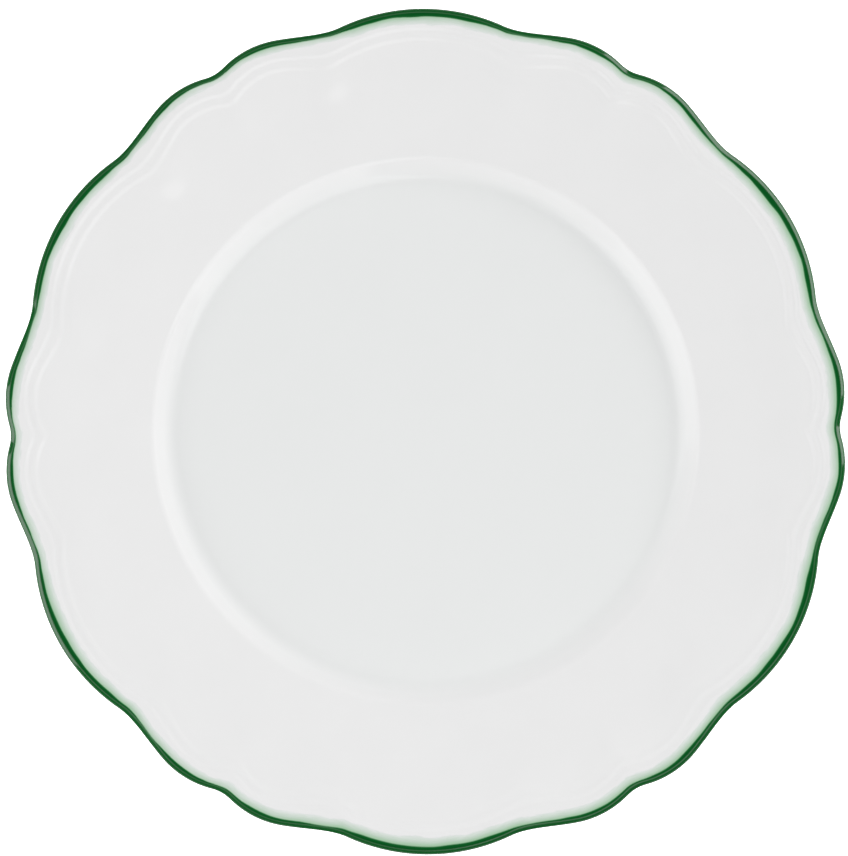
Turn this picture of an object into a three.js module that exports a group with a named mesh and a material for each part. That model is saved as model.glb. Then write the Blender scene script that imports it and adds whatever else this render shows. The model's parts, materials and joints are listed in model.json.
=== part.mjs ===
// A china dinner plate, 270 mm across, standing on its foot ring. Millimetres, +Z up.
// The origin is the centre of the foot's bearing face. +X points at a notch between two small
// lobes of the edge, so +Y points at the crest of a big lobe.
//
// A porcelain plate is one clay body under fired coats: a clear glaze on the face, on the back of
// the rim and inside the foot ring, a green enamel line round the lip, and a pale green wash
// beside that line. The foot's bearing face is wiped clean before firing and stays bare.

import * as THREE from 'three';

const { degToRad, smoothstep } = THREE.MathUtils;

// Driving dimensions, in the section through the crest of a big lobe.
const EDGE_RADIUS = 135;
const FLOOR_TOP = 8;
const FLOOR_RADIUS = 79;
const FLOOR_THICKNESS = 4.5;
const RIM_SLOPE = degToRad(10);
const RIM_THICKNESS = 3.8;
const FOOT_INNER_RADIUS = 76.9;
const FOOT_OUTER_RADIUS = 79.1;
const FOOT_BEVEL = 0.6;
const COAT_THICKNESS = 0.2;

// The lip: its thickness, the radii of its underside and its nose, the bevel over the nose, and the
// radius of the bend into the level top. The bevel runs between two directions of its normal.
const LIP_THICKNESS = 3.2;
const LIP_UNDER = 1.3;
const LIP_NOSE = 0.7;
const LIP_BEVEL = { run: 1, from: degToRad(45), to: degToRad(55) };
const LIP_BEND = 0.8;

// The shoulder between the floor and the rim: a hollow fillet, a short straight flank and a
// rounded arris.
const FILLET_ARC = 9;
const FLANK_SLOPE = degToRad(34);
const FLANK_RUN = 2.6;
const ARRIS_ARC = 5;

// The embossed border, as insets from the edge and heights above the rim's plain cone: a ledge
// beside the lip, a groove, a bead, and a shallow cove that runs out into the rim.
const LEDGE = { inset: 5.6, height: 0 };
const GROOVE = { inset: 7.3, height: -0.14 };
const BEAD = { inset: 9, height: 0.07 };
const COVE = { inset: 10.7, height: -0.09 };
const COVE_END = { inset: 13.5, height: 0 };

// The enamel line's width on the face, measured in from the edge.
const ENAMEL_WIDTH = 2.4;

// The edge has six big lobes, with a pair of small lobes between each two of them. Each lobe is an
// arc: its crest's distance from the plate's centre, and the radius of the arc itself. Rings
// further in than the embossed border lose the lobes, and are round from ROUND_RADIUS inwards.
const LOBE_PITCH = Math.PI / 3;
const BIG_LOBE = { crest: EDGE_RADIUS, arc: 62 };
const SMALL_LOBE = { crest: 134.5, arc: 30.5, offset: degToRad(6.3) };
const VALLEY_SOFTNESS = 9;
const NOTCH_SOFTNESS = 2.7;
const LOBED_RADIUS = EDGE_RADIUS - 11;
const ROUND_RADIUS = 104;

const SEGMENTS = 120;

function smoothMax(a, b, softness) {
  const overlap = Math.max(softness - Math.abs(a - b), 0) / softness;
  return Math.max(a, b) + overlap * overlap * softness / 4;
}

// Distance from the plate's centre to a lobe's arc, in a direction away from the lobe's own. Past
// the arc's side it is the distance to the foot of the arc's centre, which no lobe's edge uses.
function lobeReach(lobe, away, inset) {
  const centre = lobe.crest - lobe.arc;
  const across = centre * Math.sin(away);
  const half = Math.sqrt(Math.max((lobe.arc - inset) ** 2 - across ** 2, 0));
  return centre * Math.cos(away) + half;
}

// Distance from the plate's centre to the curve that runs the given inset inside the edge.
function lobedReach(angle, inset) {
  const turn = Math.abs(angle - LOBE_PITCH * Math.round(angle / LOBE_PITCH));
  const near = lobeReach(SMALL_LOBE, turn - SMALL_LOBE.offset, inset);
  const far = lobeReach(SMALL_LOBE, turn + SMALL_LOBE.offset, inset);
  const pair = smoothMax(near, far, NOTCH_SOFTNESS);
  return smoothMax(pair, lobeReach(BIG_LOBE, turn - LOBE_PITCH / 2, inset), VALLEY_SOFTNESS);
}

// Radius at the given angle of a ring that has the given radius at a big lobe's crest.
function scallopedRadius(radius, angle) {
  const lobed = Math.max(radius, LOBED_RADIUS);
  const shift = lobedReach(angle, EDGE_RADIUS - lobed) - lobed;
  return radius + shift * smoothstep(radius, ROUND_RADIUS, LOBED_RADIUS);
}

const point = (radius, height) => new THREE.Vector2(radius, height);

// Points on an arc from one direction to another, seen from the arc's centre. Directions are
// angles from the horizontal.
function arcPoints(centre, radius, from, to, steps) {
  return Array.from({ length: steps + 1 }, (_, step) => {
    const turn = from + (to - from) * step / steps;
    return point(centre.x + radius * Math.cos(turn), centre.y + radius * Math.sin(turn));
  });
}

// The shoulder, from the rim's edge down to the flat floor.
const filletCentre = point(FLOOR_RADIUS, FLOOR_TOP + FILLET_ARC);
const fillet = arcPoints(filletCentre, FILLET_ARC, FLANK_SLOPE - Math.PI / 2, -Math.PI / 2, 2);
const flankTop = point(
  fillet[0].x + FLANK_RUN,
  fillet[0].y + FLANK_RUN * Math.tan(FLANK_SLOPE),
);
const arrisCentre = point(
  flankTop.x + ARRIS_ARC * Math.sin(FLANK_SLOPE),
  flankTop.y - ARRIS_ARC * Math.cos(FLANK_SLOPE),
);
const arrisFrom = Math.PI / 2 + RIM_SLOPE;
const arris = arcPoints(arrisCentre, ARRIS_ARC, arrisFrom, Math.PI / 2 + FLANK_SLOPE, 2);
const shoulder = [...arris, ...fillet];

function rimTop(radius) {
  return arris[0].y + (radius - arris[0].x) * Math.tan(RIM_SLOPE);
}

function borderPoint({ inset, height }) {
  return point(EDGE_RADIUS - inset, rimTop(EDGE_RADIUS - inset) + height);
}

// Carries a section on from its last point with an arc that leaves it square to a direction.
function arcOn(section, radius, from, to) {
  const last = section[section.length - 1];
  const centre = point(last.x - radius * Math.cos(from), last.y - radius * Math.sin(from));
  section.push(...arcPoints(centre, radius, from, to, 1).slice(1));
}

// The lip is round below and at its nose. A bevel leads from the nose to the level top, which
// runs on to the border's ledge.
const ledge = borderPoint(LEDGE);
const lipUnderCentre = point(EDGE_RADIUS - LIP_UNDER, ledge.y - LIP_THICKNESS + LIP_UNDER);
const lip = arcPoints(lipUnderCentre, LIP_UNDER, -Math.PI / 2, 0, 2);
const bevelArc = LIP_BEVEL.run / (Math.cos(LIP_BEVEL.from) - Math.cos(LIP_BEVEL.to));
const noseRise = LIP_NOSE * Math.sin(LIP_BEVEL.from);
const bevelRise = bevelArc * (Math.sin(LIP_BEVEL.to) - Math.sin(LIP_BEVEL.from));
const bendRise = LIP_BEND * (1 - Math.sin(LIP_BEVEL.to));
lip.push(point(EDGE_RADIUS, ledge.y - noseRise - bevelRise - bendRise));
arcOn(lip, LIP_NOSE, 0, LIP_BEVEL.from);
arcOn(lip, bevelArc, LIP_BEVEL.from, LIP_BEVEL.to);
arcOn(lip, LIP_BEND, LIP_BEVEL.to, Math.PI / 2);

// The finished surface, from the centre of the recess under the floor, out past the foot, round
// the lip and back to the centre of the face. Neighbouring coats share their end point.
const floorUnderside = FLOOR_TOP - FLOOR_THICKNESS;
const recess = [
  point(0, floorUnderside),
  point(FOOT_INNER_RADIUS - 2.6, floorUnderside),
  point(FOOT_INNER_RADIUS - 1.2, floorUnderside - 0.6),
  point(FOOT_INNER_RADIUS - FOOT_BEVEL, FOOT_BEVEL),
];
const bearing = [point(FOOT_INNER_RADIUS, 0), point(FOOT_OUTER_RADIUS, 0)];
const underside = [
  point(FOOT_OUTER_RADIUS + FOOT_BEVEL, FOOT_BEVEL),
  point(FOOT_OUTER_RADIUS + 2, floorUnderside - 0.6),
  point(flankTop.x, flankTop.y - FLOOR_THICKNESS),
  point(arris[0].x + 4, rimTop(arris[0].x + 4) - RIM_THICKNESS),
  lip[0],
];
const enamelInner = point(EDGE_RADIUS - ENAMEL_WIDTH, ledge.y);
const enamel = [...lip, enamelInner];
const wash = [enamelInner, ledge, borderPoint(GROOVE)];
const face = [wash[2], ...[BEAD, COVE, COVE_END].map(borderPoint), ...shoulder, point(0, FLOOR_TOP)];

// The clay lies one coat's thickness below each coated point, square to the surface there.
function clayBelow(surface) {
  const normals = surface.slice(1).map((end, index) => {
    const along = end.clone().sub(surface[index]).normalize();
    return new THREE.Vector2(along.y, -along.x);
  });
  surface.forEach((finished, index) => {
    const before = normals[Math.max(index - 1, 0)];
    const after = normals[Math.min(index, normals.length - 1)];
    const mitre = before.clone().add(after).divideScalar(1 + before.dot(after));
    clay.set(finished, finished.clone().addScaledVector(mitre, -COAT_THICKNESS));
  });
}

const clay = new Map();
clayBelow(recess);
clayBelow([...underside, ...enamel.slice(1), ...wash.slice(1), ...face.slice(1)]);
const clayUnder = (coat) => coat.map((finished) => clay.get(finished));

// Splits each four-sided patch from its outer corner on one side to its inner corner on the next.
// Two solids that share a surface then share its triangles, whichever way their sections run.
function splitPatchesAlike(geometry) {
  const positions = geometry.getAttribute('position');
  const corners = geometry.getIndex();
  const radiusAt = (corner) => Math.hypot(positions.getX(corner), positions.getY(corner));
  for (let start = 0; start < corners.count; start += 6) {
    const [first, second, fourth, third] = corners.array.slice(start, start + 4);
    if (radiusAt(first) > radiusAt(fourth)) {
      corners.array.set([first, second, third, first, third, fourth], start);
    }
  }
}

// Turns a section about the plate's axis, then draws each ring out into the edge's lobes.
function turnedSolid(section) {
  const geometry = new THREE.LatheGeometry(section, SEGMENTS).rotateX(Math.PI / 2);
  splitPatchesAlike(geometry);
  const positions = geometry.getAttribute('position');
  for (let index = 0; index < positions.count; index += 1) {
    const x = positions.getX(index);
    const y = positions.getY(index);
    const radius = Math.hypot(x, y);
    if (radius > ROUND_RADIUS) {
      const scale = scallopedRadius(radius, Math.atan2(y, x)) / radius;
      positions.setXY(index, x * scale, y * scale);
    }
  }
  geometry.computeVertexNormals();
  return geometry;
}

// A coat that is a band: its section closes on itself.
function bandSection(coat) {
  return [...coat, ...clayUnder(coat).reverse(), coat[0]];
}

const biscuit = { color: 0xefece4, roughness: 0.7, metalness: 0 };
const clearGlaze = { color: 0xf4f5f3, roughness: 0.1, metalness: 0 };
const paleGreen = { color: 0xb4ceb5, roughness: 0.12, metalness: 0 };
const darkGreen = { color: 0x18532a, roughness: 0.15, metalness: 0 };

const plate = new THREE.Group();

function addPiece(name, section, finish) {
  const piece = new THREE.Mesh(turnedSolid(section), new THREE.MeshStandardMaterial(finish));
  piece.name = name;
  plate.add(piece);
}

const coatedBack = [...clayUnder(underside), ...clayUnder(enamel).slice(1)];
const coatedFace = [...clayUnder(wash).slice(1), ...clayUnder(face).slice(1)];
addPiece('porcelain_body', [...clayUnder(recess), ...bearing, ...coatedBack, ...coatedFace], biscuit);
addPiece('face_glaze', [...clayUnder(face).reverse(), ...face], clearGlaze);
addPiece('rim_back_glaze', bandSection(underside), clearGlaze);
addPiece('foot_recess_glaze', [...recess, ...clayUnder(recess).reverse()], clearGlaze);
addPiece('green_edge_line', bandSection(enamel), darkGreen);
addPiece('pale_green_wash', bandSection(wash), paleGreen);

export default plate;
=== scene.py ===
"""A scalloped china dinner plate with a hand-painted green edge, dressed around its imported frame.

The plate is one fired clay body under thin coats: clear glaze on the face, on the back of the rim
and inside the foot ring, a dark green enamel line round the lip, and a pale green wash beside it.
Each coat is turned from its own stretch of one finished section, and every ring of the section is
then drawn out into the lobes of the edge. Sections are worked out in millimetres, and meshes are
built in metres.
"""

import json
import logging
import math
from abc import ABC, abstractmethod
from dataclasses import dataclass, field
from enum import Enum
from typing import NamedTuple, Optional, Sequence

import bmesh
import bpy
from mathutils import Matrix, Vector, noise


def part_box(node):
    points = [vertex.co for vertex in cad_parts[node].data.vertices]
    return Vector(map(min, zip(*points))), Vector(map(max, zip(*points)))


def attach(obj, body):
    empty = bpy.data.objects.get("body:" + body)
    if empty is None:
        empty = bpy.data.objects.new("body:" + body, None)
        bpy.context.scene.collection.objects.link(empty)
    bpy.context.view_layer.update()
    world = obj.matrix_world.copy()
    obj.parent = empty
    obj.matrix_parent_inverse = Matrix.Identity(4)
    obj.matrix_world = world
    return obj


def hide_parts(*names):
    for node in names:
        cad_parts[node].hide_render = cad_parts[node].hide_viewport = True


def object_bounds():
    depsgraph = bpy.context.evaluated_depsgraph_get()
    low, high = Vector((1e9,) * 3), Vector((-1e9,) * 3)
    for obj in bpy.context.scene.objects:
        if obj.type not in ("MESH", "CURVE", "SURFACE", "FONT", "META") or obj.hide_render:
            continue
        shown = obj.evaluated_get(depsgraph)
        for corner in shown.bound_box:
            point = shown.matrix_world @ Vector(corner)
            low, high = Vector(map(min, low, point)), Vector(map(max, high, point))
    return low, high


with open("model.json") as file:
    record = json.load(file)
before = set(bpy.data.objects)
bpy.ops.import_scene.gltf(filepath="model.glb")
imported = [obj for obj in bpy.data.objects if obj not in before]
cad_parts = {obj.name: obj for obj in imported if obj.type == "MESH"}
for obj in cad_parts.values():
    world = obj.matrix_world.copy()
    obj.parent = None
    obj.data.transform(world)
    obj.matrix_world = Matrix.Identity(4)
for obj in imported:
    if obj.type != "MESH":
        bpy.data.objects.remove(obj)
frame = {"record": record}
CAD_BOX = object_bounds()

LOG = logging.getLogger("china_plate")

MM = 0.001

# A full turn is spun in steps within one sector, and the sector is then spun round whole.
TURN_STEPS = 720
TURN_SECTORS = 12
MERGE_DISTANCE = 4e-6
SHARP_ANGLE = math.radians(40)

# A colour ramp starts with this many stops.
RAMP_STOPS = 2

# The finer part of a hand's waver: its share, and how much shorter it is.
FINE_WAVER = 0.5
FINE_WAVER_RATE = 2.3


# ---------------------------------------------------------------------------------------------
# Small helpers
# ---------------------------------------------------------------------------------------------

def hex_colour(code: str) -> tuple[float, float, float, float]:
    """Turns an sRGB hex colour into linear values.

    Args:
        code: The colour as six hex digits after a hash sign.

    Returns:
        Red, green, blue and an alpha of 1.
    """
    channels = []
    for start in (1, 3, 5):
        value = int(code[start:start + 2], 16) / 255
        channels.append(value / 12.92 if value <= 0.04045 else ((value + 0.055) / 1.055) ** 2.4)
    return (*channels, 1.0)


def smoothstep(low: float, high: float, value: float) -> float:
    """Eases from 0 at low to 1 at high."""
    share = min(max((value - low) / (high - low), 0.0), 1.0)
    return share * share * (3 - 2 * share)


def smooth_max(first: float, second: float, softness: float) -> float:
    """Takes the larger of two lengths, rounded off where they are within softness of each other."""
    overlap = max(softness - abs(first - second), 0.0) / softness
    return max(first, second) + overlap * overlap * softness / 4


def evenly(start: float, end: float, count: int) -> list[float]:
    """Splits a stretch into count equal steps, both ends included."""
    return [start + (end - start) * step / count for step in range(count + 1)]


def arc(centre: Vector, radius: float, start: float, end: float, steps: int) -> list[Vector]:
    """Points on an arc of the section.

    Args:
        centre: The arc's centre, as radius and height.
        radius: The arc's own radius.
        start: Direction of the first point from the centre, in radians from the horizontal.
        end: Direction of the last point.
        steps: How many chords the arc has.

    Returns:
        The points, both ends included.
    """
    turns = evenly(start, end, steps)
    return [centre + radius * Vector((math.cos(turn), math.sin(turn))) for turn in turns]


def arc_on(points: list[Vector], radius: float, start: float, end: float, steps: int) -> None:
    """Carries an outline on along an arc, from its last point.

    Args:
        points: The outline so far, which the arc's points are added to.
        radius: The arc's radius.
        start: Direction that the outline's last point faces, in radians from the horizontal.
        end: Direction that the arc's last point faces.
        steps: How many chords the arc has.
    """
    centre = points[-1] - radius * Vector((math.cos(start), math.sin(start)))
    points.extend(arc(centre, radius, start, end, steps)[1:])


def rounded(corners: Sequence[Vector], cuts: Sequence[float], steps: int) -> list[Vector]:
    """Rounds off the inner corners of an open outline.

    Args:
        corners: The outline's corners, both ends included.
        cuts: How far from each inner corner its rounding starts.
        steps: How many chords each rounding has.

    Returns:
        The rounded outline's points.
    """
    points = [corners[0]]
    for before, corner, after, cut in zip(corners, corners[1:], corners[2:], cuts):
        start = corner + (before - corner).normalized() * cut
        end = corner + (after - corner).normalized() * cut
        for share in evenly(0.0, 1.0, steps):
            points.append(start.lerp(corner, share).lerp(corner.lerp(end, share), share))
    return [*points, corners[-1]]


def add_node(
    tree: bpy.types.NodeTree,
    kind: str,
    values: Optional[dict] = None,
    links: Optional[dict] = None,
    stops: Sequence[tuple[float, tuple]] = (),
    **settings: object,
) -> bpy.types.Node:
    """Adds a shader node with its settings and links.

    Args:
        tree: The node tree that the node goes into.
        kind: Blender's type name of the node.
        values: Fixed values for the node's inputs, by input name or number.
        links: Outputs of other nodes that feed the node's inputs, by input name or number.
        stops: Places and colours of a colour ramp's stops, in order.
        **settings: The node's own properties.

    Returns:
        The new node.
    """
    node = tree.nodes.new(kind)
    for name, setting in settings.items():
        setattr(node, name, setting)
    for socket, value in (values or {}).items():
        node.inputs[socket].default_value = value
    for socket, output in (links or {}).items():
        tree.links.new(output, node.inputs[socket])
    for index, (place, colour) in enumerate(stops):
        ramp = node.color_ramp.elements
        stop = ramp[index] if index < RAMP_STOPS else ramp.new(place)
        stop.position, stop.color = place, colour
    return node


# ---------------------------------------------------------------------------------------------
# The plate's shape
# ---------------------------------------------------------------------------------------------

@dataclass(frozen=True)
class Lobe:
    """One kind of lobe of the edge: an arc whose crest is the given distance from the axis."""

    crest: float
    arc: float
    offset: float = 0.0

    def reach(self, away: float, inset: float) -> float:
        """Distance from the axis to the lobe's arc, or to a curve that runs inside it.

        Args:
            away: The angle between the direction looked in and the lobe's own.
            inset: How far inside the arc the curve runs.

        Returns:
            The distance in millimetres.
        """
        centre = self.crest - self.arc
        across = centre * math.sin(away)
        return centre * math.cos(away) + math.sqrt(max((self.arc - inset) ** 2 - across ** 2, 0.0))


@dataclass(frozen=True)
class LobedEdge:
    """The edge's outline: six big lobes, with a pair of small lobes between each two of them."""

    radius: float
    big: Lobe
    small: Lobe
    pitch: float = math.pi / 3
    valley_softness: float = 9.0
    notch_softness: float = 2.7
    lobed_inset: float = 11.0
    round_radius: float = 104.0

    def reach(self, angle: float, inset: float) -> float:
        """Distance from the axis to a curve that runs inside the edge.

        Args:
            angle: The direction looked in.
            inset: How far inside the edge the curve runs.

        Returns:
            The distance in millimetres.
        """
        turn = abs(angle - self.pitch * round(angle / self.pitch))
        near = self.small.reach(turn - self.small.offset, inset)
        far = self.small.reach(turn + self.small.offset, inset)
        pair = smooth_max(near, far, self.notch_softness)
        return smooth_max(pair, self.big.reach(turn - self.pitch / 2, inset), self.valley_softness)

    def scalloped(self, radius: float, angle: float) -> float:
        """Draws a ring of the section out into the lobes.

        Args:
            radius: The ring's radius at a big lobe's crest.
            angle: The direction looked in.

        Returns:
            The ring's radius in that direction.
        """
        lobed_radius = self.radius - self.lobed_inset
        lobed = max(radius, lobed_radius)
        shift = self.reach(angle, self.radius - lobed) - lobed
        return radius + shift * smoothstep(self.round_radius, lobed_radius, radius)


class Stretch(Enum):
    """The stretches of the finished section that each carry one coat."""

    RECESS = "recess"
    UNDERSIDE = "underside"
    ENAMEL = "enamel"
    WASH = "wash"
    FACE = "face"


class BorderStation(NamedTuple):
    """A point of the embossed border: its inset from the edge, and height and slope above the
    rim's plain cone."""

    inset: float
    height: float
    slope: float


@dataclass
class PlateSection:
    """The finished section through the crest of a big lobe, in millimetres.

    It runs from the centre of the recess under the floor, out past the foot, round the lip and
    back to the centre of the face.
    """

    edge_radius: float
    floor_top: float
    foot_inner: float
    groove_inset: float
    enamel_inset: float
    coat: float = 0.2
    foot_outer: float = 79.1
    foot_wall_run: float = 2.0
    foot_wall_drop: float = 0.6
    recess_rings: tuple[float, float] = (30.0, 60.0)
    recess_wall: tuple[float, float] = (2.0, 1.0)
    floor_radius: float = 79.0
    floor_thickness: float = 4.5
    foot_bevel: float = 0.6
    rim_slope: float = math.radians(10)
    rim_thickness: float = 3.8
    lip_thickness: float = 3.2
    lip_under: float = 1.3
    lip_nose: float = 0.7
    lip_bevel_run: float = 1.0
    lip_bevel_low: float = math.radians(45)
    lip_bevel_high: float = math.radians(55)
    lip_bend: float = 0.8
    fillet_arc: float = 9.0
    flank_slope: float = math.radians(34)
    flank_run: float = 2.6
    arris_arc: float = 5.0
    arris_back: float = 4.0
    ledge_inset: float = 5.6
    groove_height: float = -0.16
    bead: BorderStation = BorderStation(9.0, 0.09, 0.0)
    cove: BorderStation = BorderStation(10.7, -0.11, 0.0)
    border_end: float = 13.5
    floor_rings: tuple[float, ...] = (66.0, 44.0, 22.0, 0.0)
    hold: float = 0.05
    fillet: list[Vector] = field(init=False)
    flank_top: Vector = field(init=False)
    arris: list[Vector] = field(init=False)
    lip_top: float = field(init=False)
    lip: list[Vector] = field(init=False)
    lip_inset: float = field(init=False)
    widest: float = field(init=False)
    stretches: dict[Stretch, list[Vector]] = field(init=False)

    def __post_init__(self) -> None:
        """Works the whole section out from its sizes."""
        slope = self.flank_slope
        centre = Vector((self.floor_radius, self.floor_top + self.fillet_arc))
        self.fillet = arc(centre, self.fillet_arc, slope - math.pi / 2, -math.pi / 2, steps=10)
        run = Vector((self.flank_run, self.flank_run * math.tan(slope)))
        self.flank_top = self.fillet[0] + run
        inwards = Vector((math.sin(slope), -math.cos(slope)))
        centre = self.flank_top + self.arris_arc * inwards
        start = math.pi / 2 + self.rim_slope
        self.arris = arc(centre, self.arris_arc, start, math.pi / 2 + slope, steps=8)
        self.lip_top = self.rim_height(self.edge_radius - self.ledge_inset)
        self.lip = self.lip_outline()
        self.lip_inset = self.edge_radius - self.lip[-1].x
        self.widest = max(self.lip, key=lambda point: point.x).y
        self.stretches = {
            Stretch.RECESS: self.recess(),
            Stretch.UNDERSIDE: self.underside(),
            Stretch.ENAMEL: self.enamel(),
            Stretch.WASH: self.wash(),
            Stretch.FACE: self.face(),
        }

    def rim_height(self, radius: float) -> float:
        """Height of the rim's plain cone."""
        return self.arris[0].y + (radius - self.arris[0].x) * math.tan(self.rim_slope)

    def border_stations(self) -> list[BorderStation]:
        """The embossed border, whose ledge and lip are level.

        Returns:
            The stations from the rim outwards: its end, cove, bead, groove, ledge and lip.
        """
        to_level = -math.tan(self.rim_slope)
        drop = (self.ledge_inset - self.lip_inset) * to_level
        return [
            BorderStation(self.border_end, 0.0, 0.0),
            self.cove,
            self.bead,
            BorderStation(self.groove_inset, self.groove_height, 0.0),
            BorderStation(self.ledge_inset, 0.0, to_level),
            BorderStation(self.lip_inset, drop, to_level),
        ]

    def border_point(self, inset: float) -> Vector:
        """Point of the finished face out on the rim, eased between the border's stations.

        Args:
            inset: How far in from the edge the point is.

        Returns:
            The point, as radius and height.
        """
        radius = self.edge_radius - inset
        rise = 0.0
        stations = self.border_stations()
        for outside, inside in zip(stations, stations[1:]):
            if inside.inset <= inset <= outside.inset:
                run = outside.inset - inside.inset
                share = (outside.inset - inset) / run
                ease = share * share * (3 - 2 * share)
                rise = outside.height + (inside.height - outside.height) * ease
                rise += outside.slope * run * share * (1 - share) ** 2
                rise -= inside.slope * run * share * share * (1 - share)
        return Vector((radius, self.rim_height(radius) + rise))

    def border_points(self, from_inset: float, to_inset: float, count: int) -> list[Vector]:
        """Points of the border between two insets, with a holding ring close to each end.

        Args:
            from_inset: How far in from the edge the first point is.
            to_inset: How far in the last point is.
            count: How many equal steps there are between them.

        Returns:
            The points, both ends included.
        """
        hold = math.copysign(self.hold, to_inset - from_inset)
        insets = evenly(from_inset, to_inset, count)
        insets[1:1] = [from_inset + hold]
        insets[-1:-1] = [to_inset - hold]
        return [self.border_point(inset) for inset in insets]

    def recess(self) -> list[Vector]:
        """Inside the foot ring.

        Returns:
            Points from the axis to the foot's bevel.
        """
        under = self.floor_top - self.floor_thickness
        inner_ring, outer_ring = self.recess_rings
        wall_top, wall_foot = self.recess_wall
        corners = [
            Vector((outer_ring, under)),
            Vector((self.foot_inner - wall_top, under)),
            Vector((self.foot_inner - wall_foot, self.foot_bevel * 2)),
            Vector((self.foot_inner - self.foot_bevel, self.foot_bevel)),
        ]
        wall = rounded(corners, cuts=[1.6, 0.3], steps=6)
        return [Vector((0.0, under)), Vector((inner_ring, under)), *wall]

    def underside(self) -> list[Vector]:
        """Under the shoulder and the rim.

        Returns:
            Points from the foot's outer bevel up to the lip, closer together near the lip.
        """
        under = self.floor_top - self.floor_thickness
        lip_foot = self.lip[0]
        behind_arris = self.arris[0].x + self.arris_back
        corners = [
            Vector((self.foot_outer + self.foot_bevel, self.foot_bevel)),
            Vector((self.foot_outer + self.foot_wall_run, under - self.foot_wall_drop)),
            Vector((self.flank_top.x, self.flank_top.y - self.floor_thickness)),
            Vector((behind_arris, self.rim_height(behind_arris) - self.rim_thickness)),
            lip_foot,
        ]
        points = rounded(corners, cuts=[1.0, 2.0, 3.0], steps=6)
        hold = points[-1].lerp(points[-2], 0.002)
        spread = [points[-2].lerp(points[-1], share) for share in evenly(0.0, 1.0, 8)[1:-1]]
        return [*points[:-1], *spread, hold, lip_foot]

    def lip_outline(self) -> list[Vector]:
        """The lip.

        Returns:
            Points from its foot round its nose and over its bevel to the level ledge.
        """
        low, high = self.lip_bevel_low, self.lip_bevel_high
        bevel_arc = self.lip_bevel_run / (math.cos(low) - math.cos(high))
        upper = [Vector((self.edge_radius, 0.0))]
        arc_on(upper, self.lip_nose, 0.0, low, steps=8)
        arc_on(upper, bevel_arc, low, high, steps=6)
        arc_on(upper, self.lip_bend, high, math.pi / 2, steps=6)
        raised = Vector((0.0, self.lip_top - upper[-1].y))
        upper = [point + raised for point in upper]
        under_centre = Vector((
            self.edge_radius - self.lip_under,
            self.lip_top - self.lip_thickness + self.lip_under,
        ))
        lower = arc(under_centre, self.lip_under, -math.pi / 2, 0.0, steps=8)
        return [*lower, *upper]

    def enamel(self) -> list[Vector]:
        """Round the lip.

        Returns:
            Points from the lip's foot to the enamel's inner limit on the face.
        """
        lip = list(self.lip)
        lip[1:1] = [lip[0].lerp(lip[1], 0.2)]
        return [*lip, *self.border_points(self.lip_inset, self.enamel_inset, count=3)[1:]]

    def wash(self) -> list[Vector]:
        """From the enamel's inner limit to the bottom of the border's groove."""
        return self.border_points(self.enamel_inset, self.groove_inset, count=20)

    def face(self) -> list[Vector]:
        """Over the rim, the shoulder and the floor.

        Returns:
            Points from the border's groove to the middle of the floor.
        """
        border = self.border_points(self.groove_inset, self.border_end, count=24)
        rim = [
            Vector((radius, self.rim_height(radius)))
            for radius in evenly(self.edge_radius - self.border_end, self.arris[0].x, 12)[1:-1]
        ]
        floor = [Vector((radius, self.floor_top)) for radius in self.floor_rings]
        return [*border, *rim, *self.arris, *self.fillet, *floor]

    def clay_below(self, surface: Sequence[Vector]) -> list[Vector]:
        """The clay's surface one coat's thickness below the finished surface.

        Args:
            surface: Points of the finished surface, which faces right of its own run.

        Returns:
            One point of the clay for each point of the surface.
        """
        normals = []
        for start, end in zip(surface, surface[1:]):
            along = (end - start).normalized()
            normals.append(Vector((along.y, -along.x)))
        below = []
        for index, point in enumerate(surface):
            before = normals[max(index - 1, 0)]
            after = normals[min(index, len(normals) - 1)]
            mitre = (before + after) / (1 + before.dot(after))
            below.append(point - mitre * self.coat)
        return below

    def clay(self, stretch: Stretch) -> list[Vector]:
        """The clay's surface under one coat, joined to its neighbours' without a step.

        It lies out of sight, so it has half as many rings as the coat.

        Args:
            stretch: The stretch that the coat covers.

        Returns:
            The clay's points, in the order of the coat's own.
        """
        if stretch is Stretch.RECESS:
            below = self.clay_below(self.stretches[stretch])
        else:
            whole: list[Vector] = []
            first = 0
            for each in (Stretch.UNDERSIDE, Stretch.ENAMEL, Stretch.WASH, Stretch.FACE):
                points = self.stretches[each]
                if each is stretch:
                    first = max(len(whole) - 1, 0)
                whole.extend(points if not whole else points[1:])
            below = self.clay_below(whole)[first:first + len(self.stretches[stretch])]
        return [below[0], *below[1:-1:2], below[-1]]


# ---------------------------------------------------------------------------------------------
# How the edge was painted
# ---------------------------------------------------------------------------------------------

class BrushStation(NamedTuple):
    """How the brush was pressed at one place of the edge's pattern, in millimetres.

    The turn is the angle from the nearest notch. The thinness is how far through its fading the
    wash already is where it meets the line.
    """

    turn: float
    line: float
    wash: float
    thinness: float


@dataclass(frozen=True)
class Lean:
    """A steady change round the edge: largest at one angle, and opposite across the plate."""

    size: float
    angle: float

    def at(self, angle: float) -> float:
        """The change at an angle."""
        return self.size * math.cos(angle - self.angle)


@dataclass(frozen=True)
class Waver:
    """A hand's smooth irregularity: how large it is, and how many millimetres one waver takes.

    Wavers in different lanes don't follow each other.
    """

    size: float
    length: float
    lane: float

    def at(self, angle: float, radius: float) -> float:
        """The waver's value round an edge.

        Args:
            angle: Where on the edge.
            radius: The edge's radius.

        Returns:
            The value, in the units of the waver's size.
        """
        spread = radius / self.length
        place = Vector((spread * math.cos(angle), spread * math.sin(angle), self.lane))
        fine = noise.noise(place * FINE_WAVER_RATE)
        return self.size * (noise.noise(place) + FINE_WAVER * fine)


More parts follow.
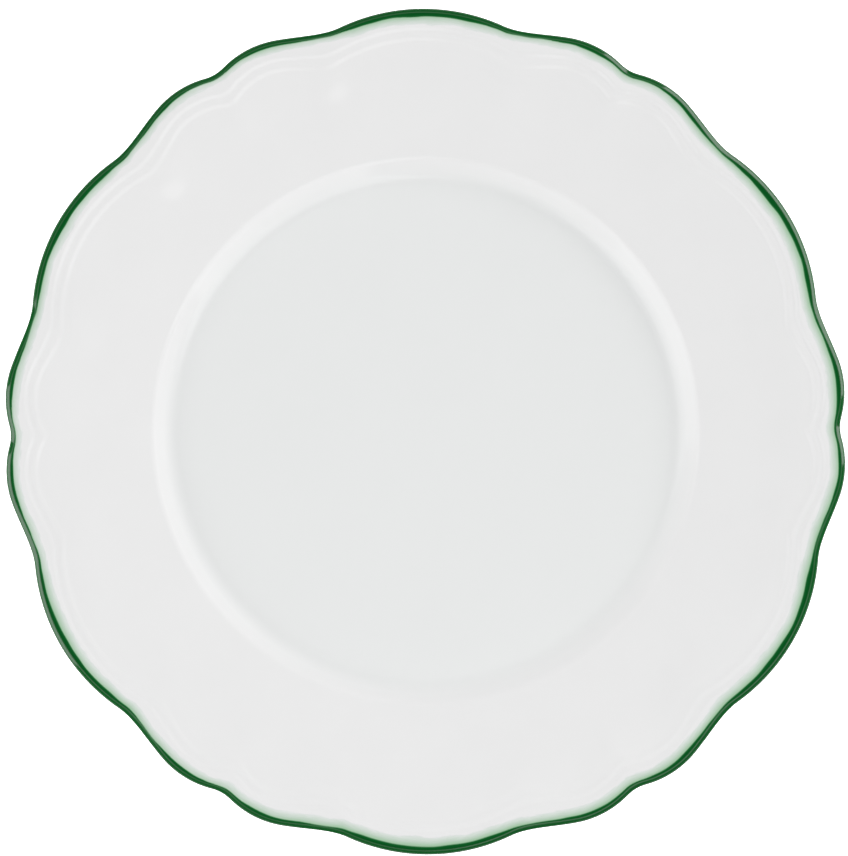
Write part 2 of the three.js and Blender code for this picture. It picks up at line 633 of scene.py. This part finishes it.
@dataclass(frozen=True)
class BrushWork:
    """Where the painter's line and its wash end: fuller on the lobes, lifted in the hollows, and
    wavering as a loaded brush does."""

    edge: LobedEdge
    stations: tuple[BrushStation, ...] = (
        BrushStation(math.radians(0.0), 1.75, 2.25, 0.26),
        BrushStation(math.radians(6.3), 2.52, 2.7, 0.16),
        BrushStation(math.radians(15.5), 1.76, 2.25, 0.12),
        BrushStation(math.radians(22.0), 2.7, 2.85, 0.06),
        BrushStation(math.radians(30.0), 2.85, 2.85, 0.0),
    )
    line_lean: Lean = Lean(0.15, math.radians(-40))
    line_waver: Waver = Waver(0.42, 14.0, 7.3)
    wash_lean: Lean = Lean(0.35, math.radians(-48))
    wash_waver: Waver = Waver(0.6, 9.0, 27.3)
    thin_lean: Lean = Lean(-0.16, math.radians(-48))
    thin_waver: Waver = Waver(0.2, 20.0, 67.3)
    thinnest: float = 0.6
    line_softness: float = 0.2
    line_depth: float = 3.1
    under_width: float = 1.9
    under_waver: Waver = Waver(0.3, 7.0, 47.3)
    under_wash: float = 0.5
    streak_length: float = 6.0

    def pressed(self, angle: float) -> BrushStation:
        """The brush's pressing, eased between the stations of the pattern.

        Args:
            angle: Where on the edge.

        Returns:
            The pressing there.
        """
        turn = abs(angle - self.edge.pitch * round(angle / self.edge.pitch))
        for first, second in zip(self.stations, self.stations[1:]):
            if turn <= second.turn:
                share = smoothstep(first.turn, second.turn, turn)
                return BrushStation(*(a + (b - a) * share for a, b in zip(first, second)))
        return self.stations[-1]

    def line(self, angle: float) -> float:
        """How far in from the edge the painted line ends on the face."""
        waver = self.line_waver.at(angle, self.edge.radius)
        return self.pressed(angle).line + self.line_lean.at(angle) + waver

    def wash(self, angle: float) -> float:
        """How far the wash reaches in from the line."""
        waver = self.wash_waver.at(angle, self.edge.radius)
        return self.pressed(angle).wash + self.wash_lean.at(angle) + waver

    def thinness(self, angle: float) -> float:
        """How far through its fading the wash is where it starts.

        Args:
            angle: Where on the edge.

        Returns:
            The thinness, from 0 up to the thinnest.
        """
        waver = self.thin_waver.at(angle, self.edge.radius)
        thin = self.pressed(angle).thinness + self.thin_lean.at(angle) + waver
        return min(max(thin, 0.0), self.thinnest)

    def distance(self, inset: float, angle: float) -> float:
        """Distance inwards from the line's inner end.

        Args:
            inset: How far in from the edge the place is.
            angle: Where on the edge.

        Returns:
            The distance: negative on the line, and from 0 to 1 across the wash.
        """
        past = inset - self.line(angle)
        if past <= 0:
            return past / self.line_depth
        thin = self.thinness(angle)
        soft = thin * smoothstep(0.0, self.line_softness, past)
        return soft + (1 - thin) * past / self.wash(angle)

    def under(self, angle: float) -> float:
        """How far round the lip's underside the painted line reaches from the outermost edge."""
        return self.under_width + self.under_waver.at(angle, self.edge.radius)


@dataclass(frozen=True)
class GlazePoolAndShade:
    """Where the clear glaze ran together as it melted and turned a trace greener, together with
    painted shade that darkens the well: over the floor, and most at the shoulder's foot.
    """

    floor_radius: float
    foot_share: float = 0.6
    foot_inside: float = 1.0
    foot_width: float = 9.0
    floor_share: float = 0.5
    floor_end: float = 88.0

    def share(self, radius: float) -> float:
        """How much the glaze has pooled, and how deep the painted shade is.

        Args:
            radius: How far from the axis the place is.

        Returns:
            The share, where 1 is the full pooled colour: greenest glaze and deepest painted shade.
        """
        from_foot = abs(radius - self.floor_radius + self.foot_inside)
        at_foot = self.foot_share - from_foot / self.foot_width
        past_floor = smoothstep(self.floor_radius, self.floor_end, radius)
        return max(at_foot, self.floor_share * (1 - past_floor), 0.0)


# ---------------------------------------------------------------------------------------------
# Finishes
# ---------------------------------------------------------------------------------------------

class Layer(Enum):
    """Values that the meshes carry for the finishes."""

    PAINT = "paint_distance"
    BRUSH = "brush_place"
    POOL_AND_SHADE = "glaze_pool_and_shade"


class Finish(ABC):
    """A finish with its own colour and a fine relief. Its sizes are in millimetres."""

    name: str
    ior: float
    roughness: float
    relief_size: float
    relief_detail: float
    relief_height: float

    @abstractmethod
    def colour(self, tree: bpy.types.NodeTree) -> bpy.types.NodeSocket:
        """Builds the colour and returns its socket."""

    def relief(self, tree: bpy.types.NodeTree) -> bpy.types.NodeSocket:
        """Builds the surface's slight unevenness.

        Args:
            tree: The material's node tree.

        Returns:
            The bumped normal's socket.
        """
        place = add_node(tree, "ShaderNodeTexCoord")
        waves = add_node(
            tree, "ShaderNodeTexNoise",
            values={"Scale": 1 / (self.relief_size * MM), "Detail": self.relief_detail},
            links={"Vector": place.outputs["Object"]},
        )
        bump = add_node(
            tree, "ShaderNodeBump",
            values={"Strength": 1.0, "Distance": self.relief_height * MM},
            links={"Height": waves.outputs["Fac"]},
        )
        return bump.outputs["Normal"]

    def material(self) -> bpy.types.Material:
        """Builds the finish.

        Returns:
            The new material.
        """
        material = bpy.data.materials.new(self.name)
        material.use_nodes = True
        tree = material.node_tree
        shader = tree.nodes["Principled BSDF"]
        shader.inputs["IOR"].default_value = self.ior
        shader.inputs["Roughness"].default_value = self.roughness
        tree.links.new(self.colour(tree), shader.inputs["Base Color"])
        tree.links.new(self.relief(tree), shader.inputs["Normal"])
        return material


@dataclass(frozen=True)
class GlazedPorcelain(Finish):
    """White hard-paste porcelain under a clear feldspar glaze, glost-fired.

    To the eye it is a clean, faintly cool white with mirror-sharp gloss; the glaze is a hair
    uneven, and a trace greener where it has pooled. Its pooled colour is also darker, which is
    painted shade over the well floor, deepest at the shoulder's foot.
    """

    name: str = "glazed_hard_paste_porcelain"
    white: str = "#F5F5F5"
    mottled: str = "#F2F2F2"
    # Pooled colour, darker than the white: greener glaze and painted shade in one.
    pooled_and_shaded: str = "#EEF1F0"
    ior: float = 1.5
    roughness: float = 0.1
    mottle_size: float = 18.0
    relief_size: float = 11.0
    relief_detail: float = 1.0
    relief_height: float = 0.006

    def colour(self, tree: bpy.types.NodeTree) -> bpy.types.NodeSocket:
        """Builds the porcelain's colour under its glaze, with painted shade over the well.

        Args:
            tree: The material's node tree.

        Returns:
            The colour's socket.
        """
        place = add_node(tree, "ShaderNodeTexCoord")
        mottle = add_node(
            tree, "ShaderNodeTexNoise",
            values={"Scale": 1 / (self.mottle_size * MM), "Detail": 3.0},
            links={"Vector": place.outputs["Object"]},
        )
        fired = add_node(
            tree, "ShaderNodeMix",
            values={6: hex_colour(self.white), 7: hex_colour(self.mottled)},
            links={0: mottle.outputs["Fac"]},
            data_type="RGBA",
        )
        # Greener pooled glaze and painted shade: the colour darkens over the well floor, most at
        # the shoulder's foot.
        pool_and_shade = add_node(tree, "ShaderNodeAttribute", attribute_name=Layer.POOL_AND_SHADE.value)
        glazed = add_node(
            tree, "ShaderNodeMix",
            values={7: hex_colour(self.pooled_and_shaded)},
            links={0: pool_and_shade.outputs["Fac"], 6: fired.outputs[2]},
            data_type="RGBA",
        )
        return glazed.outputs[2]


@dataclass(frozen=True)
class BrushedEnamel(Finish):
    """Copper-green enamel painted on the glaze by hand and fired until it sinks in.

    To the eye it is a dark glossy green where the brush was full, breaking to mid green at the
    stroke's own edge, and bleeding inwards as a pale, streaky wash that fades into the white.
    """

    name: str
    porcelain: GlazedPorcelain
    line: str = "#0A5420"
    wash: tuple[tuple[float, str], ...] = (
        (-0.08, "#14602A"),
        (-0.01, "#5A9466"),
        (0.05, "#A8CCAB"),
        (0.18, "#B3D2B6"),
        (0.37, "#C7DACA"),
        (0.63, "#DAE5DC"),
        (0.9, "#EAEEEC"),
    )
    line_start: float = -0.25
    wash_cover: float = 0.85
    ior: float = 1.52
    roughness: float = 0.1
    streak: float = 2.2
    feather: float = 0.5

    def colour(self, tree: bpy.types.NodeTree) -> bpy.types.NodeSocket:
        """Builds the paint's colour from its distance to the line's inner edge.

        The distance is below 0 on the line and runs from 0 to 1 across the wash.

        Args:
            tree: The material's node tree.

        Returns:
            The colour's socket.
        """
        distance = add_node(tree, "ShaderNodeAttribute", attribute_name=Layer.PAINT.value)
        brush = add_node(tree, "ShaderNodeAttribute", attribute_name=Layer.BRUSH.value)
        streaks = add_node(
            tree, "ShaderNodeTexNoise",
            values={"Scale": self.streak, "Detail": 4.0, "Roughness": 0.6},
            links={"Vector": brush.outputs["Vector"]},
        )
        stretch = add_node(
            tree, "ShaderNodeMapRange",
            values={"To Min": 1 - self.feather / 2, "To Max": 1 + self.feather / 2},
            links={"Value": streaks.outputs["Fac"]},
        )
        wavering = add_node(
            tree, "ShaderNodeMath",
            links={0: distance.outputs["Fac"], 1: stretch.outputs["Result"]},
            operation="MULTIPLY",
        )
        start = self.line_start
        across = add_node(
            tree, "ShaderNodeMapRange",
            values={"From Min": start, "From Max": 1.0},
            links={"Value": wavering.outputs[0]},
        )
        wash = [((at - start) / (1 - start), hex_colour(code)) for at, code in self.wash]
        paint = add_node(
            tree, "ShaderNodeValToRGB",
            links={"Fac": across.outputs["Result"]},
            stops=[
                (0.0, hex_colour(self.line)),
                (1.0, hex_colour(self.porcelain.white)),
                *wash,
            ],
        )
        cover = add_node(
            tree, "ShaderNodeMapRange",
            values={"From Min": 1.0, "From Max": self.wash_cover},
            links={"Value": wavering.outputs[0]},
        )
        bare = self.porcelain.colour(tree)
        covered = add_node(
            tree, "ShaderNodeMix",
            links={0: cover.outputs["Result"], 6: bare, 7: paint.outputs["Color"]},
            data_type="RGBA",
        )
        return covered.outputs[2]

    def relief(self, tree: bpy.types.NodeTree) -> bpy.types.NodeSocket:
        """Builds the unevenness of the glaze that the paint has sunk into."""
        return self.porcelain.relief(tree)


@dataclass(frozen=True)
class WipedBiscuit(Finish):
    """Porcelain biscuit at the wiped foot: unglazed, matt, faintly warm, with a fine tooth."""

    name: str = "unglazed_porcelain_biscuit"
    clay: str = "#E9E5DB"
    stained: str = "#DAD3C4"
    ior: float = 1.5
    roughness: float = 0.75
    stain_size: float = 6.0
    relief_size: float = 0.35
    relief_detail: float = 2.0
    relief_height: float = 0.02

    def colour(self, tree: bpy.types.NodeTree) -> bpy.types.NodeSocket:
        """Builds the bare clay's colour, faintly stained where it was handled.

        Args:
            tree: The material's node tree.

        Returns:
            The colour's socket.
        """
        place = add_node(tree, "ShaderNodeTexCoord")
        stain = add_node(
            tree, "ShaderNodeTexNoise",
            values={"Scale": 1 / (self.stain_size * MM), "Detail": 5.0},
            links={"Vector": place.outputs["Object"]},
        )
        colour = add_node(
            tree, "ShaderNodeMix",
            values={6: hex_colour(self.clay), 7: hex_colour(self.stained)},
            links={0: stain.outputs["Fac"]},
            data_type="RGBA",
        )
        return colour.outputs[2]


# ---------------------------------------------------------------------------------------------
# The plate's pieces
# ---------------------------------------------------------------------------------------------

@dataclass
class PlateWorks:
    """What every piece of the plate is made with: its section, edge, brush work, and the
    glaze's pooling, which also carries painted shade over the well.
    """

    section: PlateSection
    edge: LobedEdge
    brush: BrushWork
    pool_and_shade: GlazePoolAndShade

    def paint_distance(self, radius: float, height: float, angle: float) -> float:
        """Distance from the painted line's nearer end.

        Args:
            radius: The place's radius in the section.
            height: Its height.
            angle: Its direction from the axis.

        Returns:
            The distance: negative on the line, and from 0 to 1 across the wash.
        """
        inset = self.section.edge_radius - radius
        fall = self.section.widest - height
        if fall > 0:
            return (math.hypot(fall, inset) - self.brush.under(angle)) / self.brush.under_wash
        return self.brush.distance(inset, angle)

    def brush_place(self, radius: float, height: float, angle: float) -> Vector:
        """Place of a point in the brush's own space: drawn out along the edge, tight across."""
        along = self.edge.radius / self.brush.streak_length
        return Vector((along * math.cos(angle), along * math.sin(angle), radius - height))

    def turned(self, name: str, outline: Sequence[Vector], closed: bool) -> bpy.types.Object:
        """Turns an outline about the axis and draws its rings out into the lobes.

        Args:
            name: The new object's name.
            outline: Points of the section, in millimetres, as radius and height.
            closed: Whether the outline joins up with itself; if not, it ends on the axis.

        Returns:
            The finished mesh object.
        """
        mould = bmesh.new()
        rings = [mould.verts.new((point.x * MM, 0.0, point.y * MM)) for point in outline]
        joined = [*rings, rings[0]] if closed else rings
        lines = [mould.edges.new(pair) for pair in zip(joined, joined[1:])]
        bmesh.ops.spin(
            mould, geom=[*rings, *lines], cent=(0, 0, 0), axis=(0, 0, 1),
            angle=math.tau / TURN_SECTORS, steps=TURN_STEPS // TURN_SECTORS,
        )
        bmesh.ops.spin(
            mould, geom=[*mould.verts, *mould.edges, *mould.faces], cent=(0, 0, 0), axis=(0, 0, 1),
            angle=math.tau * (1 - 1 / TURN_SECTORS), steps=TURN_SECTORS - 1, use_duplicate=True,
        )
        bmesh.ops.remove_doubles(mould, verts=mould.verts[:], dist=MERGE_DISTANCE)
        bmesh.ops.recalc_face_normals(mould, faces=mould.faces[:])
        paint = mould.verts.layers.float.new(Layer.PAINT.value)
        pool_and_shade = mould.verts.layers.float.new(Layer.POOL_AND_SHADE.value)
        brush = mould.verts.layers.float_vector.new(Layer.BRUSH.value)
        for vertex in mould.verts:
            radius = vertex.co.xy.length / MM
            height = vertex.co.z / MM
            angle = math.atan2(vertex.co.y, vertex.co.x)
            vertex[paint] = self.paint_distance(radius, height, angle)
            # This share also carries the painted shade of the well and the shoulder's foot.
            vertex[pool_and_shade] = self.pool_and_shade.share(radius)
            vertex[brush] = self.brush_place(radius, height, angle)
            if radius > self.edge.round_radius:
                vertex.co.xy *= self.edge.scalloped(radius, angle) / radius
        for edge in mould.edges:
            edge.smooth = edge.calc_face_angle(0.0) < SHARP_ANGLE
        for face in mould.faces:
            face.smooth = True
        mesh = bpy.data.meshes.new(name)
        mould.to_mesh(mesh)
        mould.free()
        piece = bpy.data.objects.new(name, mesh)
        bpy.context.scene.collection.objects.link(piece)
        return piece


def seat(piece: bpy.types.Object, node: str) -> bpy.types.Object:
    """Sets a finished piece in the frame in place of its CAD node.

    Args:
        piece: The finished piece.
        node: The CAD node that it stands for.

    Returns:
        The same piece.
    """
    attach(piece, "root")
    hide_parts(node)
    LOG.info("%s: %d faces, in place of %s", piece.name, len(piece.data.polygons), node)
    return piece


@dataclass
class TurnedPiece(ABC):
    """A piece of the plate, turned from its own outline and dressed in its finish."""

    works: PlateWorks
    finish: Finish
    name: str
    node: str
    slot: str

    @abstractmethod
    def outline(self) -> tuple[list[Vector], bool]:
        """The piece's section, and whether it closes on itself away from the axis."""

    def build(self) -> bpy.types.Object:
        """Builds the piece, gives it its finish and sets it in place of its CAD node.

        Returns:
            The finished piece.
        """
        outline, closed = self.outline()
        piece = self.works.turned(self.name, outline, closed)
        piece.data.materials.append(self.finish.material())
        return seat(piece, self.node)


@dataclass
class Coat(TurnedPiece):
    """One coat over a stretch of the clay: a closed skin as thick as the coat."""

    stretch: Stretch

    def outline(self) -> tuple[list[Vector], bool]:
        """The coat's section.

        Returns:
            Its points, and whether it closes on itself away from the axis.
        """
        finished = self.works.section.stretches[self.stretch]
        clay = self.works.section.clay(self.stretch)
        if self.stretch is Stretch.FACE:
            return [*reversed(clay), *finished], False
        return [*finished, *reversed(clay)], self.stretch is not Stretch.RECESS


@dataclass
class ClayBody(TurnedPiece):
    """The fired clay body under the coats, bare at the foot's bearing face."""

    bearing_bevel: float = 0.15

    def outline(self) -> tuple[list[Vector], bool]:
        """The clay's whole section.

        Returns:
            Its points from the axis below to the axis above, and that it doesn't close on itself.
        """
        section = self.works.section
        bevel = self.bearing_bevel
        points = [
            *section.clay(Stretch.RECESS),
            Vector((section.foot_inner - bevel, bevel)),
            Vector((section.foot_inner + bevel, 0.0)),
            Vector((section.foot_outer - bevel, 0.0)),
            Vector((section.foot_outer + bevel, bevel)),
            *section.clay(Stretch.UNDERSIDE),
        ]
        for stretch in (Stretch.ENAMEL, Stretch.WASH, Stretch.FACE):
            points += section.clay(stretch)[1:]
        return points, False


@dataclass
class DinnerPlate:
    """The whole plate, built from its frame's sizes."""

    record: dict
    big_arc: float = 62.0
    small_arc: float = 30.5
    small_drop: float = 0.5
    small_offset: float = math.radians(6.3)

    def works(self) -> PlateWorks:
        """Reads the driving sizes off the frame and works out the section.

        Returns:
            What every piece is made with.
        """
        edge_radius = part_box("green_edge_line")[1].y / MM
        floor_top = next(m for m in self.record["mounts"] if m["name"] == "well_floor")["pos_m"][2]
        section = PlateSection(
            edge_radius=edge_radius,
            floor_top=floor_top / MM,
            foot_inner=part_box("foot_recess_glaze")[1].y / MM + PlateSection.foot_bevel,
            groove_inset=edge_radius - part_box("face_glaze")[1].y / MM,
            enamel_inset=edge_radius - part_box("pale_green_wash")[1].y / MM,
        )
        edge = LobedEdge(
            radius=edge_radius,
            big=Lobe(edge_radius, self.big_arc),
            small=Lobe(edge_radius - self.small_drop, self.small_arc, self.small_offset),
        )
        return PlateWorks(section, edge, BrushWork(edge), GlazePoolAndShade(section.floor_radius))

    def build(self) -> list[bpy.types.Object]:
        """Builds every piece of the plate, from the clay out.

        Returns:
            The finished pieces.
        """
        works = self.works()
        biscuit = WipedBiscuit()
        face = GlazedPorcelain()
        back = GlazedPorcelain(name="glazed_porcelain_back", relief_height=0.012)
        line = BrushedEnamel("copper_green_enamel_line", face)
        wash = BrushedEnamel("copper_green_wash", face)
        clay, glaze = "biscuit_porcelain", "glazed_porcelain"
        green, pale = "green_enamel", "pale_green_enamel"
        under, recess = Stretch.UNDERSIDE, Stretch.RECESS
        parts = [
            ClayBody(works, biscuit, "clay_body", "porcelain_body", clay),
            Coat(works, face, "face_glaze_coat", "face_glaze", glaze, Stretch.FACE),
            Coat(works, back, "rim_back_coat", "rim_back_glaze", glaze, under),
            Coat(works, back, "foot_recess_coat", "foot_recess_glaze", glaze, recess),
            Coat(works, line, "painted_edge_line", "green_edge_line", green, Stretch.ENAMEL),
            Coat(works, wash, "painted_wash", "pale_green_wash", pale, Stretch.WASH),
        ]
        return [part.build() for part in parts]


# ---------------------------------------------------------------------------------------------
# The studio
# ---------------------------------------------------------------------------------------------

@dataclass(frozen=True)
class Softbox:
    """A soft studio light that faces the middle of the plate."""

    name: str
    azimuth: float
    elevation: float
    distance: float
    width: float
    height: float
    power: float

    def build(self, target: Vector) -> bpy.types.Object:
        """Sets the light up.

        Args:
            target: The point that it faces.

        Returns:
            The light's object.
        """
        light = bpy.data.lights.new(self.name, "AREA")
        light.shape = "RECTANGLE"
        light.size = self.width
        light.size_y = self.height
        light.energy = self.power
        lamp = bpy.data.objects.new(self.name, light)
        turn, tilt = math.radians(self.azimuth), math.radians(self.elevation)
        away = Vector((
            math.cos(turn) * math.cos(tilt),
            math.sin(turn) * math.cos(tilt),
            math.sin(tilt),
        ))
        lamp.location = target + away * self.distance
        lamp.rotation_euler = away.to_track_quat("Z", "Y").to_euler()
        lamp.visible_camera = False
        bpy.context.scene.collection.objects.link(lamp)
        return lamp


@dataclass
class Studio:
    """A plain pale floor in a white light tent, with a camera straight above the plate.

    The tent is open overhead, so its top is dark. Low softboxes stand at its left and right, and
    high ones in front and at the left.
    """

    lens: float = 170.0
    sensor: float = 36.0
    margin: float = 1.0114
    lip_drop: float = 1.5
    roll: float = math.radians(-0.55)
    aside: tuple[float, float] = (-0.45, 1.15)
    floor_size: float = 6.0
    floor_gap: float = 0.05
    floor_colour: str = "#FFFFFF"
    floor_glow: float = 0.9
    floor_roughness: float = 0.9
    tent: tuple[tuple[float, float], ...] = (
        (0.0, 0.03), (0.2, 0.03), (0.33, 0.43), (0.45, 1.0),
        (0.63, 0.79), (0.79, 0.54), (0.92, 0.09), (1.0, 0.0),
    )
    tent_strength: float = 1.27
    softboxes: tuple[Softbox, ...] = (
        Softbox("right_low_softbox", 28.0, 12.5, 1.3, 1.45, 0.48, 8.2),
        Softbox("left_low_softbox", 194.0, 12.5, 1.3, 1.05, 0.48, 4.9),
        Softbox("front_high_softbox", 305.0, 48.0, 1.8, 1.4, 1.4, 6.0),
        Softbox("left_high_softbox", 200.0, 45.0, 1.8, 1.4, 1.4, 4.0),
    )

    def floor(self) -> bpy.types.Object:
        """Lays the floor a hair below the plane that the plate stands on.

        Returns:
            The floor's object.
        """
        mesh = bpy.data.meshes.new("studio_floor")
        slab = bmesh.new()
        bmesh.ops.create_grid(slab, x_segments=1, y_segments=1, size=self.floor_size / 2)
        slab.to_mesh(mesh)
        slab.free()
        floor = bpy.data.objects.new("studio_floor", mesh)
        floor.location.z = -self.floor_gap * MM
        # Matt white painted board, lit through from below: the eye sees no floor, only white.
        material = bpy.data.materials.new("matt_white_sweep")
        material.use_nodes = True
        shader = material.node_tree.nodes["Principled BSDF"]
        shader.inputs["Base Color"].default_value = hex_colour(self.floor_colour)
        shader.inputs["Roughness"].default_value = self.floor_roughness
        shader.inputs["Emission Color"].default_value = hex_colour(self.floor_colour)
        shader.inputs["Emission Strength"].default_value = self.floor_glow
        mesh.materials.append(material)
        bpy.context.scene.collection.objects.link(floor)
        return floor

    def surroundings(self) -> None:
        """Sets the tent's light, which changes with the height above the floor."""
        world = bpy.data.worlds.new("white_tent")
        world.use_nodes = True
        tree = world.node_tree
        sky = add_node(tree, "ShaderNodeTexCoord")
        height = add_node(
            tree, "ShaderNodeSeparateXYZ",
            links={"Vector": sky.outputs["Generated"]},
        )
        brightness = add_node(
            tree, "ShaderNodeValToRGB",
            links={"Fac": height.outputs["Z"]},
            stops=[
                (place, (share, share, share, 1.0))
                for place, share in (self.tent[0], self.tent[-1], *self.tent[1:-1])
            ],
        )
        background = tree.nodes["Background"]
        background.inputs["Strength"].default_value = self.tent_strength
        tree.links.new(brightness.outputs["Color"], background.inputs["Color"])
        bpy.context.scene.world = world

    def camera(self) -> bpy.types.Object:
        """Hangs the camera straight above the plate, as far off as its lens needs.

        Returns:
            The camera's object.
        """
        low, high = CAD_BOX
        data = bpy.data.cameras.new("overhead_camera")
        data.lens = self.lens
        data.sensor_width = self.sensor
        camera = bpy.data.objects.new("overhead_camera", data)
        height_seen = (high.y - low.y) * self.margin
        distance = height_seen * self.lens / self.sensor
        widest_ring = high.z - self.lip_drop * MM
        camera.location = (self.aside[0] * MM, self.aside[1] * MM, widest_ring + distance)
        camera.rotation_euler = (0.0, 0.0, self.roll)
        bpy.context.scene.collection.objects.link(camera)
        bpy.context.scene.camera = camera
        return camera

    def build(self) -> None:
        """Sets up the whole studio."""
        low, high = CAD_BOX
        self.surroundings()
        self.floor()
        for softbox in self.softboxes:
            softbox.build((low + high) / 2)
        self.camera()
        bpy.context.scene.view_settings.view_transform = "Standard"
        LOG.info("studio: %d softboxes", len(self.softboxes))


def main() -> None:
    """Builds the plate and the studio round it."""
    logging.basicConfig(level=logging.INFO, format="%(name)s: %(message)s")
    pieces = DinnerPlate(frame["record"]).build()
    Studio().build()
    LOG.info("built %d pieces", len(pieces))


if __name__ == "__main__":
    main()
